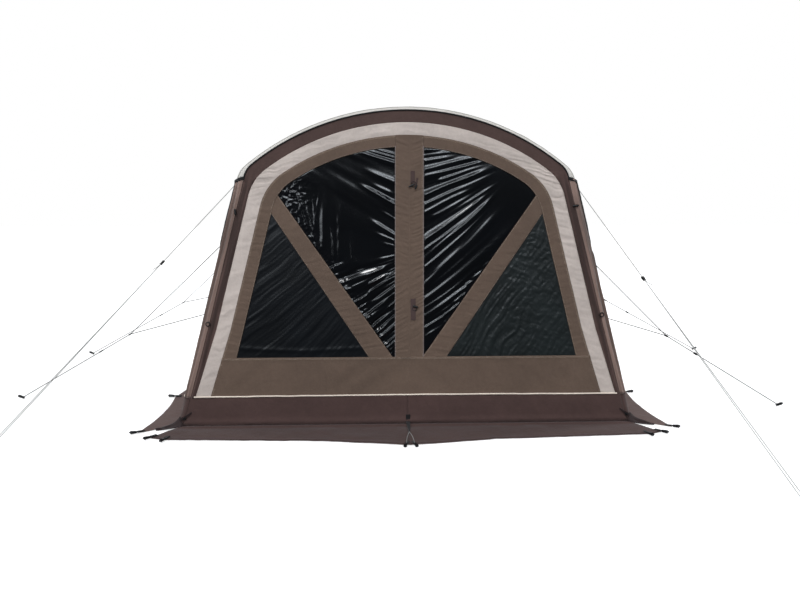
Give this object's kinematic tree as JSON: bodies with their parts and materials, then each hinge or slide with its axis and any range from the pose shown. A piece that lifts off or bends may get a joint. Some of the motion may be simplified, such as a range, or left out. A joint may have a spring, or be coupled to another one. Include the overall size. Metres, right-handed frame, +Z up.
{
  "type": "inflatable tent",
  "caption": "Air-beam family tent with rounded roof, dark wide-border front wall, tinted film windows, mud skirts and guy lines",
  "frame": {"origin": "on the ground, at the middle of the bounding box's floor plan, which is the middle of the tent", "axes": "+X to the right seen from the front, +Y from the front wall to the rear wall, +Z up"},
  "size_m": [6.1312, 6.0721, 2.178],
  "materials": {
    "brown_fabric": "woven polyester, matte",
    "beige_fabric": "woven polyester, matte",
    "olive_brown_fabric": "woven polyester, matte",
    "pale_grey_fabric": "coated polyester, satin",
    "tinted_film": "wrinkled glossy tinted film",
    "cream_piping": "smooth piping",
    "grey_cord": "braided cord",
    "beam_skin": "coated beam sleeve, matte"
  },
  "bodies": {
    "root": {"front_air_beam": "beam_skin", "middle_air_beam": "beam_skin", "rear_air_beam": "beam_skin", "front_roof": "pale_grey_fabric", "rear_roof": "pale_grey_fabric", "left_front_side_wall": "brown_fabric", "right_front_side_wall": "brown_fabric", "left_rear_side_wall": "brown_fabric", "right_rear_side_wall": "brown_fabric", "left_front_side_window": "tinted_film", "right_front_side_window": "tinted_film", "left_rear_side_window": "tinted_film", "right_rear_side_window": "tinted_film", "front_outer_border": "brown_fabric", "front_inner_border": "beige_fabric", "front_left_frame": "olive_brown_fabric", "front_right_frame": "olive_brown_fabric", "front_centre_strip": "olive_brown_fabric", "front_left_brace": "olive_brown_fabric", "front_right_brace": "olive_brown_fabric", "front_lower_panel": "olive_brown_fabric", "front_upper_left_window": "tinted_film", "front_upper_right_window": "tinted_film", "front_lower_left_window": "tinted_film", "front_lower_right_window": "tinted_film", "front_piping": "cream_piping", "rear_outer_border": "brown_fabric", "rear_inner_border": "beige_fabric", "rear_frame": "olive_brown_fabric", "rear_lower_panel": "olive_brown_fabric", "rear_left_window": "tinted_film", "rear_right_window": "tinted_film", "front_left_skirt": "brown_fabric", "front_right_skirt": "brown_fabric", "left_skirt": "brown_fabric", "right_skirt": "brown_fabric", "rear_skirt": "brown_fabric", "front_left_guy": "grey_cord", "front_right_guy": "grey_cord", "middle_left_guy": "grey_cord", "middle_right_guy": "grey_cord", "rear_left_guy": "grey_cord", "rear_right_guy": "grey_cord", "back_left_guy": "grey_cord", "back_right_guy": "grey_cord"}
  },
  "joints": []
}
